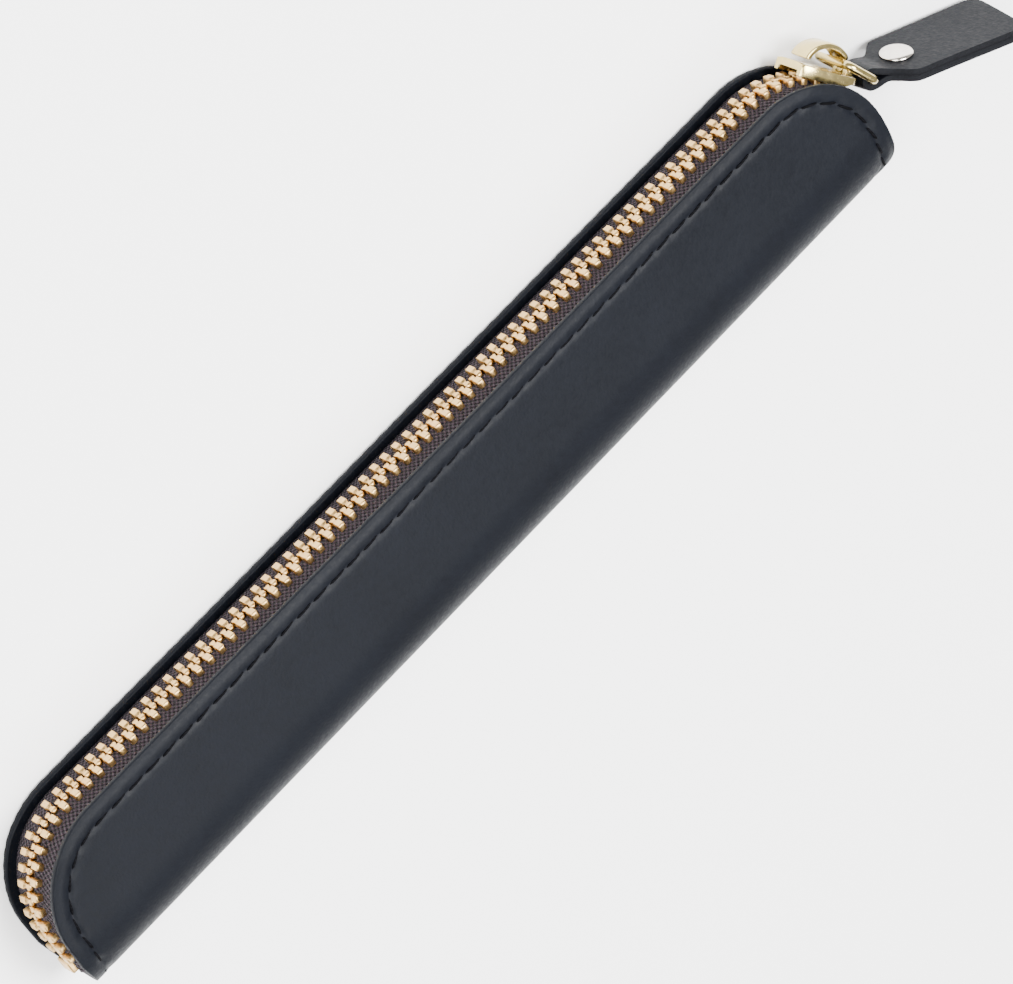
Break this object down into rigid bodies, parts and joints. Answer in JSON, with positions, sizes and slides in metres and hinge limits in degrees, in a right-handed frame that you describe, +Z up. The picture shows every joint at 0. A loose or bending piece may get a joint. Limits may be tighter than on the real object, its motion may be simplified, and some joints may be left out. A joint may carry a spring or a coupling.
{
  "type": "fountain pen case",
  "caption": "Slim leather pen case folded from one sheet, with a metal zipper round its open edge and a riveted leather pull strap.",
  "frame": {"origin": "centre of the flat outer face of the back panel, on which the case rests", "axes": "+X along the case towards the start end of the zipper, -Y towards the zipper, +Z up through the thickness"},
  "size_m": [0.234, 0.03, 0.016],
  "materials": {
    "leather": "smooth matte navy-black leather",
    "thread": "black waxed thread",
    "tape": "woven charcoal zipper tape",
    "teeth_brass": "pale gold brass teeth",
    "slider_gold": "pale gold plated die casting",
    "rivet_nickel": "nickel plated"
  },
  "bodies": {
    "case_back": {"back_panel": "leather", "stitches_back": "thread", "tape_back": "tape", "teeth_back": "teeth_brass", "bottom_stop": "teeth_brass", "top_stop_back": "teeth_brass"},
    "case_front": {"front_panel": "leather", "stitches_front": "thread", "tape_front": "tape", "teeth_front": "teeth_brass", "top_stop_front": "teeth_brass"},
    "slider_carrier": {"bail_pin": "slider_gold"},
    "slider": {"slider_body": "slider_gold", "slider_bail": "slider_gold"},
    "ring": {"pull_ring": "slider_gold"},
    "pull": {"strap": "leather", "rivet_cap": "rivet_nickel", "rivet_post": "rivet_nickel"}
  },
  "joints": [
    {"name": "slider_travel", "type": "slide", "parent": "case_back", "child": "slider_carrier", "axis": [0.9971, -0.0755, 0], "range_m": [0, 0.1704], "deforming": ["tape_back", "tape_front", "teeth_back", "teeth_front", "top_stop_back", "top_stop_front", "strap"]},
    {"name": "slider_turn", "type": "hinge", "parent": "slider_carrier", "child": "slider", "pos_m": [-0.10232, 0.00007, 0.008], "axis": [0, 0, 1], "range_deg": [0, 55.5]},
    {"name": "ring_swing", "type": "hinge", "parent": "slider", "child": "ring", "pos_m": [-0.10139, -0.00282, 0.008], "axis": [0, 0, 1], "range_deg": [-8, 50]},
    {"name": "strap_swing", "type": "hinge", "parent": "ring", "child": "pull", "pos_m": [-0.10424, 0.00357, 0.008], "axis": [0, 0, 1], "range_deg": [-20, 45]},
    {"name": "front_open", "type": "hinge", "parent": "case_back", "child": "case_front", "pos_m": [0, 0.0195, 0.008], "axis": [-1, 0, 0], "range_deg": [0, 30.5]}
  ],
  "couplings": [
    {"joint": "slider_turn", "follows": "slider_travel", "rad_per_m": 5.6334},
    {"joint": "front_open", "follows": "slider_travel", "rad_per_m": 3.0728}
  ]
}
